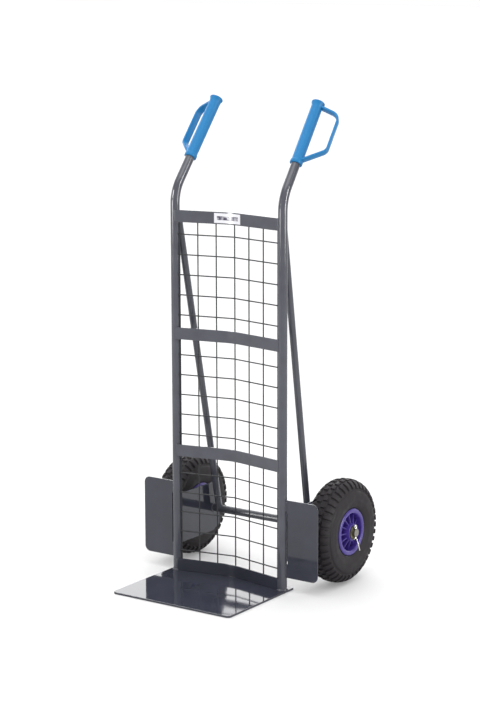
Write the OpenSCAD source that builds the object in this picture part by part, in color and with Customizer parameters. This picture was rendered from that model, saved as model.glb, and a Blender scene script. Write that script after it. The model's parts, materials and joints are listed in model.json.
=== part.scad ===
// Steel hand truck with a mesh back, moulded guard grips and pneumatic wheels.
// Origin: on the ground, midway between the stiles, in the plane of their centre lines.
// X runs to the right hand side, Y runs back towards the wheels, Z runs up.

/* [Stiles] */
// Distance between the centre lines of the two stiles
stile_spacing = 316; // [300:1:330]
// Outside diameter of the stile tube
stile_od = 23; // [21:0.5:25]
// Wall of the stile tube
stile_wall = 2; // [1.5:0.1:3]
// Height at which the upright and the handle centre lines cross
bend_height = 962; // [940:1:1000]
// Centre line radius of the bend
bend_radius = 95; // [60:1:110]
// Lean of the handle behind the vertical, in degrees
handle_angle = 37.8; // [30:0.1:42]
// Turn of the handle towards the middle, in degrees
handle_toe_in = 2.8; // [0:0.1:5]

/* [Crossbars] */
// Height of each flat crossbar
bar_height = 30; // [25:1:35]
// Thickness of the flat bar
bar_thick = 5; // [4:0.5:6]
// Slope of each half of the bar in plan, in degrees
bow_angle = 11; // [8:0.5:13]
// Radius of the bend in the middle of the bar
bow_radius = 120; // [80:5:150]
// How far the bar's front face stands forward of the stile centres at its ends
bar_forward = 12; // [11:0.5:13]
// Heights of the lower edges of the upper three bars
bar_levels = [300, 596, 887];

/* [Mesh] */
// Diameter of the mesh wire
wire_d = 3.2; // [2.5:0.1:3.2]
// Spacing of the level wires
rung_pitch = 50; // [40:1:60]
// Spacing of the upright wires, seen from the front
upright_pitch = 48.2; // [46:0.1:48.2]
// Height of the lowest level wire
rung_start = 6.7; // [6.7:0.1:10]
// Number of level wires
rung_count = 19; // [10:1:19]
// Number of upright wires on each side of the middle one
upright_pairs = 3; // [1:1:3]

/* [Toe plate] */
// Width of the toe plate
toe_width = 347; // [340:1:360]
// Reach of the toe plate in front of the stile centres
toe_front = 249; // [200:1:300]
// Reach of the toe plate behind the stile centres
toe_back = 26; // [18:1:40]
// Thickness of the toe plate
toe_thick = 5; // [4:0.5:5]
// Radius of the front corners
toe_corner = 10; // [4:1:20]

/* [Wheel guards] */
// Distance from the middle to the outer edge of a guard
guard_reach = 260.5; // [240:0.5:270]
// Height of the guard's lower edge
guard_bottom = 36; // [30:1:50]
// Height of the guard's upper edge
guard_top = 231.5; // [220:0.5:250]
// Thickness of the guard
guard_thick = 3; // [2:0.5:4]
// Radius of the outer corners
guard_corner = 15.5; // [8:0.5:20]

/* [Axle and brackets] */
// Distance of the axle behind the stile centres
axle_back = 153.5; // [145:0.5:160]
// Diameter of the axle
axle_d = 20; // [18:1:20]
// Overall length of the axle
axle_length = 550; // [550:1:560]
// Thickness of the axle bracket
bracket_thick = 5; // [4:0.5:6]
// Height of the bracket's lower edge
bracket_bottom = 70; // [60:1:80]
// Height of the bracket's upper edge
bracket_top = 198; // [180:1:205]
// Reach of the bracket behind the stile centres
bracket_back = 177; // [172:1:185]
// Outside diameter of the brace tube
brace_od = 17; // [14:0.5:18]
// Height of the brace's upper end
brace_top = 892; // [880:1:900]

/* [Wheels] */
// Diameter of the wheel over the tyre
wheel_d = 260; // [260:1:260]
// Distance from the middle to the wheel's centre plane
wheel_out = 228.7; // [228:0.1:232]
// Overall width of the tyre
tyre_width = 73; // [70:1:76]
// Diameter of the rim over its flange
rim_d = 117; // [116:1:118]
// Length of the hub
hub_length = 75; // [74:1:76]
// Radial clearance between bearing and axle
running_fit = 0.05; // [0.03:0.01:0.1]

/* [Grips] */
// Outside diameter of the grip
grip_d = 28.2; // [28:0.1:30]
// Length of the grip along the handle
grip_length = 175; // [165:1:180]
// Distance along the handle from the bend to the grip
grip_start = 97; // [90:1:105]
// Distance from the handle's centre line to the middle of the guard strap
guard_strap_out = 60; // [55:1:65]
// Width of the guard strap
strap_width = 17.6; // [14:0.1:20]
// Thickness of the guard strap
strap_thick = 6; // [4:0.1:7]
// Turn of the guard strap behind straight outward, in degrees
strap_turn = 21.5; // [15:0.5:28]

/* [Hidden] */
$fn = 64;
stile_x = stile_spacing / 2;
stile_r = stile_od / 2;
handle_length = grip_start + grip_length - 6;
bend_run = bend_radius * tan(handle_angle / 2);

// Plan curve of the bars and wires: an arc in the middle with a straight leg on each side.
// Offsets are counted backwards from the front face of the bars.
bar_end_x = 152;
bow_center_y = -bar_forward - bow_radius * cos(bow_angle)
    + (bar_end_x - bow_radius * sin(bow_angle)) * tan(bow_angle);
rung_offset = bar_thick + wire_d / 2;
upright_offset = rung_offset + wire_d;
upright_top = rung_start + (rung_count - 1) * rung_pitch + 4;
bow_steps = 10;

label_left = -47;
label_right = 27;
label_height = 24;
label_thick = 0.4;

wheel_r = wheel_d / 2;
bracket_x = stile_x - 0.5;
slot_width = 4;
slot_bottom = 71;
slot_top = 200;
brace_head = [stile_x - 3.7, 10.5, brace_top];
brace_foot = [stile_x - 21.5, axle_back - 3.5, wheel_r + 4];

// Tyre section, as half width and radius; the crown follows a squared-off ellipse.
tyre_half = tyre_width / 2;
side_r = 90;
crown_rise = wheel_r - side_r;
crown_power = 2.6;
tyre_wall = 5;
tread_wall = 9;
bead_r = 51;
flange_r = rim_d / 2;
flange_x = 33.3;
flange_thick = 4;
bead_x = flange_x - flange_thick - 0.3;
bead_width = 9;
wall_r = 74;
barrel_r = 50.6;
barrel_wall = 3.6;
web_thick = 7;
rib_rim = 23;
rib_hub = 30;
hub_r = 21;
bearing_r = 14;
bearing_length = 16;
rib_count = 12;
rib_thick = 2.6;
screw_count = 6;
screw_turn = 15;
screw_ring = 33;
screw_d = 6;
screw_head = 4;
screw_bite = 5;
tube_wall = 1.8;
tube_gap = 0.4;
valve_x = -13.5;
valve_turn = 45;
valve_d = 7;
valve_end_r = 25;
washer_d = 35;
washer_thick = 2;
side_play = 0.4;
pin_x = wheel_out + hub_length / 2 + side_play + washer_thick + 3.2;
pin_d = 4;
pin_hole_d = 4.3;
spacer_d = 27;

// Every paired piece is drawn for the right hand side and mirrored for the left.
module on_side(side) {
    if (side > 0) children();
    else mirror([1, 0, 0]) children();
}

// Handle frame: Z runs up the handle from the bend, X outwards, Y back and down.
module along_handle() {
    translate([stile_x, 0, bend_height])
        rotate([0, 0, handle_toe_in]) rotate([-handle_angle, 0, 0]) children();
}

// Wheel frame: local Z is the wheel's axis and points away from the truck.
module on_wheel() {
    translate([wheel_out, axle_back, wheel_r]) rotate([0, 90, 0]) children();
}

// A straight rod of length l along X, ending at x = 0 on its left.
module rod_x(l, d) {
    rotate([0, 90, 0]) cylinder(h = l, d = d);
}

module tube_section() {
    difference() {
        circle(d = stile_od);
        circle(d = stile_od - 2 * stile_wall);
    }
}

// One bent tube: upright, elbow and handle, made in one plane and turned as a whole.
module stile(side) {
    straight = bend_height - bend_run - toe_thick;
    color("#5c5e67") on_side(side)
        translate([stile_x, 0, 0]) rotate([0, 0, handle_toe_in]) union() {
            translate([0, 0, toe_thick]) linear_extrude(straight) tube_section();
            translate([0, bend_radius, bend_height - bend_run])
                rotate([0, -90, 0]) rotate([0, 0, -90])
                    rotate_extrude(angle = handle_angle, $fn = 96)
                        translate([bend_radius, 0]) tube_section();
            translate([0, bend_radius, bend_height - bend_run])
                rotate([-handle_angle, 0, 0]) translate([0, -bend_radius, 0])
                    linear_extrude(handle_length - bend_run) tube_section();
        }
}

function reversed(p) = [for (k = [len(p) - 1 : -1 : 0]) p[k]];

// Depth at which the two legs would meet in the middle, and the depth of a leg at x.
function apex_y(gap) = bow_center_y + (bow_radius + gap) / cos(bow_angle);
function leg_y(gap, x) = apex_y(gap) - abs(x) * tan(bow_angle);

// Plan curve from left to right, at a distance behind the bars' front face.
function bow_line(gap, left, right) = concat(
    [[left, leg_y(gap, left)]],
    [for (k = [-bow_steps : bow_steps]) let(a = 90 - k * bow_angle / bow_steps)
        [0, bow_center_y] + (bow_radius + gap) * [cos(a), sin(a)]],
    [[right, leg_y(gap, right)]]);

// Solid strip that follows the plan curve between two distances.
module bowed_strip(near, far, height, left, right) {
    linear_extrude(height)
        polygon(concat(bow_line(near, left, right), reversed(bow_line(far, left, right))));
}

module stile_cutters() {
    for (side = [-1, 1]) translate([side * stile_x, 0, 0]) cylinder(h = bend_height, d = stile_od);
}

module crossbar(level) {
    color("#5c5e67") difference() {
        translate([0, 0, level]) bowed_strip(0, bar_thick, bar_height, -bar_end_x, bar_end_x);
        stile_cutters();
    }
}

module label_plate() {
    color("#f4f5f7") translate([0, 0, bar_levels[2] + (bar_height - label_height) / 2])
        bowed_strip(-label_thick, 0, label_height, label_left, label_right);
}

// Right hand half of every level wire, mitred in the middle and cut against the stile.
module rung_halves() {
    leg = (stile_x - stile_r + 0.5) / cos(bow_angle);
    difference() {
        for (k = [0 : rung_count - 1])
            translate([0, apex_y(rung_offset), rung_start + k * rung_pitch])
                rotate([0, 0, -bow_angle]) translate([-wire_d, 0, 0]) rod_x(leg + wire_d, wire_d);
        translate([-stile_x, -stile_x, 0]) cube([stile_x, 2 * stile_x, bend_height]);
        translate([stile_x, 0, 0]) cylinder(h = bend_height, d = stile_od);
    }
}

module mesh_rungs() {
    color("#3b3d44") for (side = [-1, 1]) on_side(side) rung_halves();
}

module mesh_uprights() {
    color("#3b3d44") for (k = [-upright_pairs : upright_pairs])
        translate([k * upright_pitch, leg_y(upright_offset, k * upright_pitch), toe_thick])
            cylinder(h = upright_top - toe_thick, d = wire_d);
}

module toe_plate() {
    half = toe_width / 2;
    color("#42444e") difference() {
        translate([-half, -toe_front, 0]) cube([toe_width, toe_front + toe_back, toe_thick]);
        for (side = [-1, 1]) translate([side * half, -toe_front, -1]) difference() {
            translate([-toe_corner, -toe_corner, 0])
                cube([2 * toe_corner, 2 * toe_corner, toe_thick + 2]);
            translate([-side * toe_corner, toe_corner, -1])
                cylinder(h = toe_thick + 4, r = toe_corner);
        }
    }
}

// Flat guard in front of the wheel, with a slot beside the stile over the bracket's height.
module wheel_guard(side) {
    tall = guard_top - guard_bottom;
    inner = stile_x + stile_r - 1;
    wide = guard_reach - inner;
    color("#565963") on_side(side) difference() {
        translate([inner, guard_thick / 2, guard_bottom]) rotate([90, 0, 0])
            linear_extrude(guard_thick) union() {
                square([wide - guard_corner, tall]);
                translate([0, guard_corner]) square([wide, tall - 2 * guard_corner]);
                for (v = [guard_corner, tall - guard_corner])
                    translate([wide - guard_corner, v]) circle(r = guard_corner);
            }
        translate([inner - 1, -guard_thick, slot_bottom])
            cube([slot_width + 2, 2 * guard_thick, slot_top - slot_bottom]);
        translate([stile_x, 0, 0]) cylinder(h = bend_height / 2, d = stile_od);
    }
}

module axle_bracket(side) {
    foot_cut = [26, 14];
    head_cut = [30, 24];
    color("#50525b") on_side(side) difference() {
        translate([bracket_x - bracket_thick / 2, 0, 0]) rotate([90, 0, 90])
            linear_extrude(bracket_thick) polygon([
                [stile_r - 2, bracket_bottom],
                [bracket_back - foot_cut[0], bracket_bottom],
                [bracket_back, bracket_bottom + foot_cut[1]],
                [bracket_back, bracket_top - head_cut[1]],
                [bracket_back - head_cut[0], bracket_top],
                [stile_r - 2, bracket_top]
            ]);
        translate([stile_x, 0, 0]) cylinder(h = bend_height / 2, d = stile_od);
        translate([0, axle_back, wheel_r]) rod_x(stile_spacing, axle_d);
    }
}

// Places a rod of diameter d from point a to point b.
module rod_between(a, b, d) {
    run = b - a;
    translate(a) rotate([0, acos(run[2] / norm(run)), atan2(run[1], run[0])])
        cylinder(h = norm(run), d = d);
}

module brace(side) {
    color("#4d4f58") on_side(side) difference() {
        rod_between(brace_foot, brace_head, brace_od);
        translate([stile_x, 0, 0]) cylinder(h = bend_height, d = stile_od);
        translate([0, axle_back, wheel_r]) rod_x(stile_spacing, axle_d);
    }
}

module axle() {
    color("#4a4c55") difference() {
        translate([-axle_length / 2, axle_back, wheel_r]) rod_x(axle_length, axle_d);
        for (side = [-1, 1]) translate([side * pin_x, axle_back, wheel_r - axle_d])
            cylinder(h = 2 * axle_d, d = pin_hole_d);
    }
}

// Points of a path with its corners rounded: p holds the corners, r the radius at each.
function unit(v) = v / norm(v);
function corner(a, b, c, r, steps) = let(
        u = unit(a - b), w = unit(c - b),
        half = acos(u * w) / 2,
        mid = b + unit(u + w) * r / sin(half),
        start = b + u * r / tan(half),
        stop = b + w * r / tan(half),
        from = atan2(start[1] - mid[1], start[0] - mid[0]),
        to = atan2(stop[1] - mid[1], stop[0] - mid[0]),
        turn = ((to - from + 540) % 360) - 180)
    [for (k = [0 : steps]) mid + r * [cos(from + turn * k / steps), sin(from + turn * k / steps)]];
function rounded_path(p, r, steps) = concat([p[0]],
    [for (k = [1 : len(p) - 2]) each corner(p[k - 1], p[k], p[k + 1], r[k - 1], steps)],
    [p[len(p) - 1]]);
function normal_at(p, k) = let(
        a = p[max(k - 1, 0)], b = p[min(k + 1, len(p) - 1)], t = unit(b - a)) [-t[1], t[0]];
function beside(p, gap) = [for (k = [0 : len(p) - 1]) p[k] + gap * normal_at(p, k)];

// Outline of the knuckle guard, as distance out from the handle and height up the grip.
strap_root = 9;
strap_corners = [
    [strap_root, grip_length - 11], [guard_strap_out, grip_length - 22],
    [guard_strap_out, 53], [strap_root, 12]
];
strap_radii = [22, 18];

module grip(side) {
    line = rounded_path(strap_corners, strap_radii, 6);
    collar_d = grip_d + 2.8;
    collar_high = 9;
    collar_taper = 2;
    flange_d = grip_d + 5.6;
    flange_high = 4;
    flange_taper = 5;
    color("#2f83c8") on_side(side) along_handle() translate([0, 0, grip_start]) difference() {
        union() {
            cylinder(h = grip_length, d = grip_d);
            cylinder(h = collar_high, d = collar_d);
            translate([0, 0, collar_high]) cylinder(h = collar_taper, d1 = collar_d, d2 = grip_d);
            translate([0, 0, grip_length - flange_high - flange_taper])
                cylinder(h = flange_taper, d1 = grip_d, d2 = flange_d);
            translate([0, 0, grip_length - flange_high]) cylinder(h = flange_high, d = flange_d);
            rotate([0, 0, strap_turn]) rotate([90, 0, 0])
                translate([0, 0, -strap_width / 2]) linear_extrude(strap_width)
                    polygon(concat(beside(line, strap_thick / 2),
                        reversed(beside(line, -strap_thick / 2))));
        }
        translate([0, 0, -1]) cylinder(h = grip_length - 5, d = stile_od);
    }
}

// Half of the tyre's outside, from the crown down to the bead.
function crown_point(a) = [
    side_r + crown_rise * pow(sin(a), 2 / crown_power),
    tyre_half * pow(cos(a), 2 / crown_power)];
function side_point(t) = [side_r - (side_r - flange_r - 1.5) * t, tyre_half - 5 * t * t];
outer_half = concat([for (a = [90 : -6 : 0]) crown_point(a)],
    [for (t = [0.25 : 0.25 : 1]) side_point(t)],
    [[flange_r + 0.5, bead_x], [bead_r, bead_x]]);
inner_r = wheel_r - tread_wall;
function inner_point(a) = [
    side_r + (inner_r - side_r) * pow(sin(a), 2 / crown_power),
    (tyre_half - tyre_wall) * pow(cos(a), 2 / crown_power)];
inner_half = concat([[bead_r, bead_x - bead_width], [bead_r + 10, tyre_half - 12],
        [wall_r, tyre_half - tyre_wall]],
    [for (a = [0 : 10 : 90]) inner_point(a)]);
function flipped(p) = [for (q = p) [q[0], -q[1]]];

module tyre(side) {
    color("#3a393b") on_side(side) on_wheel() rotate_extrude($fn = 120)
        polygon(concat(reversed(flipped(outer_half)), outer_half,
            inner_half, reversed(flipped(inner_half))));
}

// Inflated tube section: it fills the tyre above and narrows to the rim's well below.
function tube_point(a, wall) = let(
        half = tyre_half - tyre_wall - tube_gap - wall,
        power = a < 180 ? 2 / crown_power : 1,
        reach = (a < 180 ? inner_r - side_r : side_r - barrel_r) - tube_gap - wall)
    [side_r + reach * sign(sin(a)) * pow(abs(sin(a)), power),
        half * sign(cos(a)) * pow(abs(cos(a)), power)];
function tube_outline(wall) = [for (a = [0 : 10 : 350]) tube_point(a, wall)];

module inner_tube(side) {
    color("#2b2b2d") on_side(side) on_wheel() rotate_extrude($fn = 96) difference() {
        polygon(tube_outline(0));
        polygon(tube_outline(tube_wall));
    }
}

// Ring around the wheel's axis, from z = low to z = high.
module ring(inner, outer, low, high) {
    translate([0, 0, low]) difference() {
        cylinder(h = high - low, r = outer, $fn = 96);
        translate([0, 0, -1]) cylinder(h = high - low + 2, r = inner, $fn = 96);
    }
}

// Places its children at each rim screw.
module at_screws() {
    for (k = [0 : screw_count - 1]) rotate([0, 0, screw_turn + k * 360 / screw_count])
        translate([screw_ring, 0, 0]) children();
}

// Valve frame: Z runs outwards from the wheel's axis along the valve stem.
module along_valve() {
    rotate([0, 0, valve_turn]) translate([0, 0, valve_x]) rotate([0, 90, 0]) children();
}

// One half of the two-piece rim; both halves meet in the wheel's centre plane.
module rim_half(screw_depth) {
    dish_r = barrel_r - barrel_wall;
    lip = flange_x - flange_thick;
    difference() {
        union() {
            ring(dish_r, barrel_r, 0, lip + 1);
            ring(dish_r, flange_r, lip, flange_x);
            ring(hub_r - 1, dish_r + 1, 0, web_thick);
            ring(bearing_r, hub_r, 0, hub_length / 2);
            for (k = [0 : rib_count - 1]) rotate([0, 0, k * 360 / rib_count])
                rotate([90, 0, 0]) translate([0, 0, -rib_thick / 2]) linear_extrude(rib_thick)
                    polygon([[hub_r - 1, 0], [dish_r + 1, 0], [dish_r + 1, rib_rim], [hub_r - 1, rib_hub]]);
        }
        at_screws() translate([0, 0, -1]) cylinder(h = 1 + screw_depth, d = screw_d + 0.2);
    }
}

module rim_outer(side) {
    color("#5a4a9c") on_side(side) on_wheel() rim_half(screw_bite);
}

module rim_inner(side) {
    color("#5a4a9c") on_side(side) on_wheel() difference() {
        mirror([0, 0, 1]) rim_half(web_thick + 1);
        along_valve() translate([0, 0, valve_end_r]) cylinder(h = side_r, d = valve_d + 0.4);
    }
}

module rim_screws(side) {
    color("#b9bcc0") on_side(side) on_wheel() at_screws() {
        translate([0, 0, -web_thick]) cylinder(h = web_thick + screw_bite - 0.2, d = screw_d);
        translate([0, 0, -web_thick - screw_head]) cylinder(h = screw_head, d = 10);
    }
}

module valve_stem(side) {
    color("#c2a860") on_side(side) on_wheel() difference() {
        along_valve() translate([0, 0, valve_end_r])
            cylinder(h = side_r - valve_end_r, d = valve_d);
        rotate_extrude($fn = 96) polygon(tube_outline(0));
    }
}

module valve_cap(side) {
    color("#202124") on_side(side) on_wheel() along_valve() difference() {
        translate([0, 0, valve_end_r - 2]) cylinder(h = 10, d = valve_d + 1.6);
        translate([0, 0, valve_end_r]) cylinder(h = 12, d = valve_d);
    }
}

module outer_bearing(side) {
    color("#8d9095") on_side(side) on_wheel()
        ring(axle_d / 2 + running_fit, bearing_r, hub_length / 2 - bearing_length, hub_length / 2);
}

module inner_bearing(side) {
    color("#8d9095") on_side(side) on_wheel()
        ring(axle_d / 2 + running_fit, bearing_r, -hub_length / 2, bearing_length - hub_length / 2);
}

module hub_sleeve(side) {
    half = hub_length / 2 - bearing_length;
    color("#7b7e84") on_side(side) on_wheel() ring(bearing_r - 2, bearing_r, -half, half);
}

module washer_at(x) {
    color("#a9a36f") translate([x, axle_back, wheel_r]) rotate([0, 90, 0])
        ring(axle_d / 2 + 0.2, washer_d / 2, 0, washer_thick);
}

module outer_washer(side) {
    on_side(side) washer_at(wheel_out + hub_length / 2 + side_play);
}

module inner_washer(side) {
    on_side(side) washer_at(wheel_out - hub_length / 2 - side_play - washer_thick);
}

module spacer(side) {
    from = bracket_x + bracket_thick / 2;
    to = wheel_out - hub_length / 2 - side_play - washer_thick;
    color("#4a4c55") on_side(side) translate([from, axle_back, wheel_r]) rotate([0, 90, 0])
        ring(axle_d / 2 + 0.1, spacer_d / 2, 0, to - from);
}

// Split pin: eye above the axle, one leg bent short and the other left long.
module split_pin(side) {
    eye_r = 4.5;
    top = axle_d / 2 + 1;
    low = -axle_d / 2 - 1;
    long_leg = [9, 5, -34];
    short_leg = [0, -8, -6];
    leg_d = 2.6;
    color("#c9ccd0") on_side(side) translate([pin_x, axle_back, wheel_r]) {
        translate([0, 0, low]) cylinder(h = top - low, d = pin_d);
        translate([0, 0, top + eye_r]) rotate([0, 90, 0]) rotate_extrude()
            translate([eye_r, 0]) circle(d = leg_d);
        translate([0, 0, low]) sphere(d = pin_d);
        rod_between([0, 0, low], [0, 0, low] + long_leg, leg_d);
        rod_between([0, 0, low], [0, 0, low] + short_leg, leg_d);
    }
}

stile(-1);  // stile_left
stile(1);  // stile_right
crossbar(bar_levels[2]);  // top_bar
crossbar(bar_levels[1]);  // upper_bar
crossbar(bar_levels[0]);  // lower_bar
crossbar(toe_thick);  // bottom_bar
mesh_uprights();
mesh_rungs();
label_plate();
toe_plate();
wheel_guard(-1);  // wheel_guard_left
wheel_guard(1);  // wheel_guard_right
axle_bracket(-1);  // axle_bracket_left
axle_bracket(1);  // axle_bracket_right
brace(-1);  // brace_left
brace(1);  // brace_right
axle();
grip(-1);  // grip_left
grip(1);  // grip_right
spacer(-1);  // spacer_left
spacer(1);  // spacer_right
inner_washer(-1);  // inner_washer_left
inner_washer(1);  // inner_washer_right
outer_washer(-1);  // outer_washer_left
outer_washer(1);  // outer_washer_right
split_pin(-1);  // split_pin_left
split_pin(1);  // split_pin_right
tyre(-1);  // tyre_left
tyre(1);  // tyre_right
inner_tube(-1);  // inner_tube_left
inner_tube(1);  // inner_tube_right
rim_outer(-1);  // rim_outer_left
rim_outer(1);  // rim_outer_right
rim_inner(-1);  // rim_inner_left
rim_inner(1);  // rim_inner_right
rim_screws(-1);  // rim_screws_left
rim_screws(1);  // rim_screws_right
valve_stem(-1);  // valve_stem_left
valve_stem(1);  // valve_stem_right
valve_cap(-1);  // valve_cap_left
valve_cap(1);  // valve_cap_right
outer_bearing(-1);  // outer_bearing_left
outer_bearing(1);  // outer_bearing_right
inner_bearing(-1);  // inner_bearing_left
inner_bearing(1);  // inner_bearing_right
hub_sleeve(-1);  // hub_sleeve_left
hub_sleeve(1);  // hub_sleeve_right
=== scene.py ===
# %% [markdown]
# # A steel hand truck with a mesh back and air-filled wheels
# The truck is a welded frame of bent tube and flat bar, sprayed slate grey, with a thin toe
# plate at the front and two wheels on a through axle at the back. Its measured model is loaded
# first and never changes: it says where each piece is. What follows gives every piece its
# finish, and models again the pieces whose real shape is finer than the measured one, such as
# the tread of the tyres, the rolled lips of the rims and the weld beads.
import json
import math

import bmesh
import bpy
from mathutils import Matrix, Vector

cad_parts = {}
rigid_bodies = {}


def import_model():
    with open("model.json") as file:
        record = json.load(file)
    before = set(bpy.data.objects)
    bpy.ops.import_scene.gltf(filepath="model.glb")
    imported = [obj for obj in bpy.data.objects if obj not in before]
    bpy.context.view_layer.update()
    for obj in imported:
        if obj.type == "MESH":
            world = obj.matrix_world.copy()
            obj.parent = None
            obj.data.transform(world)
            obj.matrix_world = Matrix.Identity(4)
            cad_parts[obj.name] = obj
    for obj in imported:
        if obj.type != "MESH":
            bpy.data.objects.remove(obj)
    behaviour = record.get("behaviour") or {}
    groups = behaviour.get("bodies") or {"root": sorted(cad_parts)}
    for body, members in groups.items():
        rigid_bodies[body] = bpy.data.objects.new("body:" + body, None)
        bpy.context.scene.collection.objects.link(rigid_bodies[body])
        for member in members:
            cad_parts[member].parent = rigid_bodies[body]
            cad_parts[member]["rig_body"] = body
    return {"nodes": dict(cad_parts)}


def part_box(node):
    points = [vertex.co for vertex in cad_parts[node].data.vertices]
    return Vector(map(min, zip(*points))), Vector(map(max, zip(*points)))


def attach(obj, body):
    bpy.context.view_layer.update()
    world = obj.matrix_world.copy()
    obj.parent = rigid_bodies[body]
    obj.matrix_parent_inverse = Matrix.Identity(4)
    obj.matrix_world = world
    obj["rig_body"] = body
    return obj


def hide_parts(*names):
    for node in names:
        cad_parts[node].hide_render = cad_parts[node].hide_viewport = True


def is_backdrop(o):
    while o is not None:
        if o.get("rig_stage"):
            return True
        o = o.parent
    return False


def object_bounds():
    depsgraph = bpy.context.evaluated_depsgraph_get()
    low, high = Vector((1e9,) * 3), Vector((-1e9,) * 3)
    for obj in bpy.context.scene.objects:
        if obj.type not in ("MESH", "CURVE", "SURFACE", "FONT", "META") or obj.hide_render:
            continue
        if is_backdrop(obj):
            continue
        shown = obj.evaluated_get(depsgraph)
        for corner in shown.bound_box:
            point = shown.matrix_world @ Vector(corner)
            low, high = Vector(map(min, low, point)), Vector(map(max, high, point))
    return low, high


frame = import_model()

MM = 0.001
cad_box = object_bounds()
cad_size = cad_box[1] - cad_box[0]
print("The truck is", [round(side / MM) for side in cad_size], "mm wide, deep and high")

# %% [markdown]
# ## Camera
# A long lens from a few metres away keeps the uprights almost parallel, as in a catalogue
# picture. The camera is turned by three angles: a yaw around the vertical, a pitch down
# towards the truck and a very small roll. Multiplying three rotations is easier to read than
# one list of Euler angles, because each one keeps its own name.

# %% Place the camera
LENS_LENGTH = 105.33
CAMERA_PLACE = Vector((2.894, -4.1182, 1.5419))
YAW, PITCH, ROLL = (math.radians(angle) for angle in (34.78, 11.06, -0.16))

bpy.ops.object.camera_add(location=CAMERA_PLACE)
camera = bpy.context.object
camera.data.lens = LENS_LENGTH
camera.data.clip_end = 200
turn = (Matrix.Rotation(YAW, 4, "Z") @ Matrix.Rotation(math.pi / 2 - PITCH, 4, "X")
        @ Matrix.Rotation(ROLL, 4, "Z"))
camera.matrix_world = Matrix.Translation(CAMERA_PLACE) @ turn
bpy.context.scene.camera = camera
print("The camera stands", round(CAMERA_PLACE.length, 2), "m from the foot of the truck")

# %% [markdown]
# ## Surround
# Glossy paint is judged by what it mirrors, so the light has to be soft and wide. The surround
# is a ramp around the truck: very bright behind it, which the toe plate mirrors, dim at the
# sides, which draws dark edges down the tubes, and plain white in front and overhead. What the
# camera sees directly is always plain white, so thin wires keep their full contrast.

# %% A ramp of light around the truck
BACK_LIGHT, SIDE_LIGHT, FRONT_LIGHT, TOP_LIGHT = 3.0, 0.35, 1.0, 1.3
FRONT_ENDS, SIDE_STARTS, SIDE_ENDS, BACK_STARTS = 0.25, 0.45, 0.62, 0.85
TOP_STARTS, TOP_FULL = 0.35, 0.8
WHITE = (1, 1, 1, 1)

world = bpy.data.worlds.new("soft_surround")
world.use_nodes = True
tree = world.node_tree
look = tree.nodes.new("ShaderNodeTexCoord")
behind = tree.nodes.new("ShaderNodeVectorMath")
behind.operation = "DOT_PRODUCT"
behind.inputs[1].default_value = (-math.sin(YAW), math.cos(YAW), 0)
around = tree.nodes.new("ShaderNodeValToRGB")
around.color_ramp.interpolation = "EASE"
around.color_ramp.elements[1].position = FRONT_ENDS
for place, level in ((SIDE_STARTS, SIDE_LIGHT), (SIDE_ENDS, SIDE_LIGHT),
                     (BACK_STARTS, BACK_LIGHT)):
    around.color_ramp.elements.new(place).color = [level / BACK_LIGHT] * 3 + [1]
for k in (0, 1):
    around.color_ramp.elements[k].color = [FRONT_LIGHT / BACK_LIGHT] * 3 + [1]
half = tree.nodes.new("ShaderNodeMapRange")
half.inputs["From Min"].default_value = -1
scaled = tree.nodes.new("ShaderNodeMath")
scaled.operation = "MULTIPLY"
scaled.inputs[1].default_value = BACK_LIGHT
axes = tree.nodes.new("ShaderNodeSeparateXYZ")
above = tree.nodes.new("ShaderNodeMapRange")
for key, value in (("From Min", TOP_STARTS), ("From Max", TOP_FULL), ("To Max", TOP_LIGHT)):
    above.inputs[key].default_value = value
larger = tree.nodes.new("ShaderNodeMath")
larger.operation = "MAXIMUM"
ray = tree.nodes.new("ShaderNodeLightPath")
seen = tree.nodes.new("ShaderNodeMix")
seen.inputs["B"].default_value = 1
for source, target in (
        (look.outputs["Generated"], behind.inputs[0]), (behind.outputs["Value"], half.inputs[0]),
        (half.outputs[0], around.inputs[0]), (around.outputs["Color"], scaled.inputs[0]),
        (look.outputs["Generated"], axes.inputs[0]), (axes.outputs["Z"], above.inputs[0]),
        (scaled.outputs[0], larger.inputs[0]), (above.outputs[0], larger.inputs[1]),
        (ray.outputs["Is Camera Ray"], seen.inputs["Factor"]), (larger.outputs[0], seen.inputs["A"]),
        (seen.outputs["Result"], tree.nodes["Background"].inputs["Strength"])):
    tree.links.new(source, target)
tree.nodes["Background"].inputs["Color"].default_value = WHITE
bpy.context.scene.world = world
bpy.context.scene.view_settings.view_transform = "Standard"
print("The surround is", round(BACK_LIGHT / FRONT_LIGHT, 1), "times brighter behind than in front")

# %% [markdown]
# ## Panels
# Tall panels stand far off to the left and right of the camera: an upright tube mirrors each
# of them as a bright line, and only near its top, because lower down it mirrors the floor in
# front of them. They are hidden from diffuse light, so they draw these lines without bleaching
# the paint. The left one is two panels with a gap between, which keeps it out of the mirror
# between the bottom bar and the toe plate. One large panel overhead lights the upper faces.

# %% Tall panels beside the camera and one above
PANEL_AWAY, PANEL_WIDE, PANEL_LEVEL = 4.7, 1.1, 21
PANEL_FOOT, PANEL_HEAD = 0.25, 3.2
GAP_STARTS, GAP_ENDS = 1.2, 1.65
LEFT_TURN, RIGHT_TURN = -66, 60
ABOVE_PLACE, ABOVE_SIDE, ABOVE_POWER = (0.3, -0.6, 3.6), 2.4, 40


def clear():
    """Leaves edit mode and selects nothing, because operators act on all that is selected."""
    if bpy.context.object and bpy.context.object.mode != "OBJECT":
        bpy.ops.object.mode_set(mode="OBJECT")
    bpy.ops.object.select_all(action="DESELECT")


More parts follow.
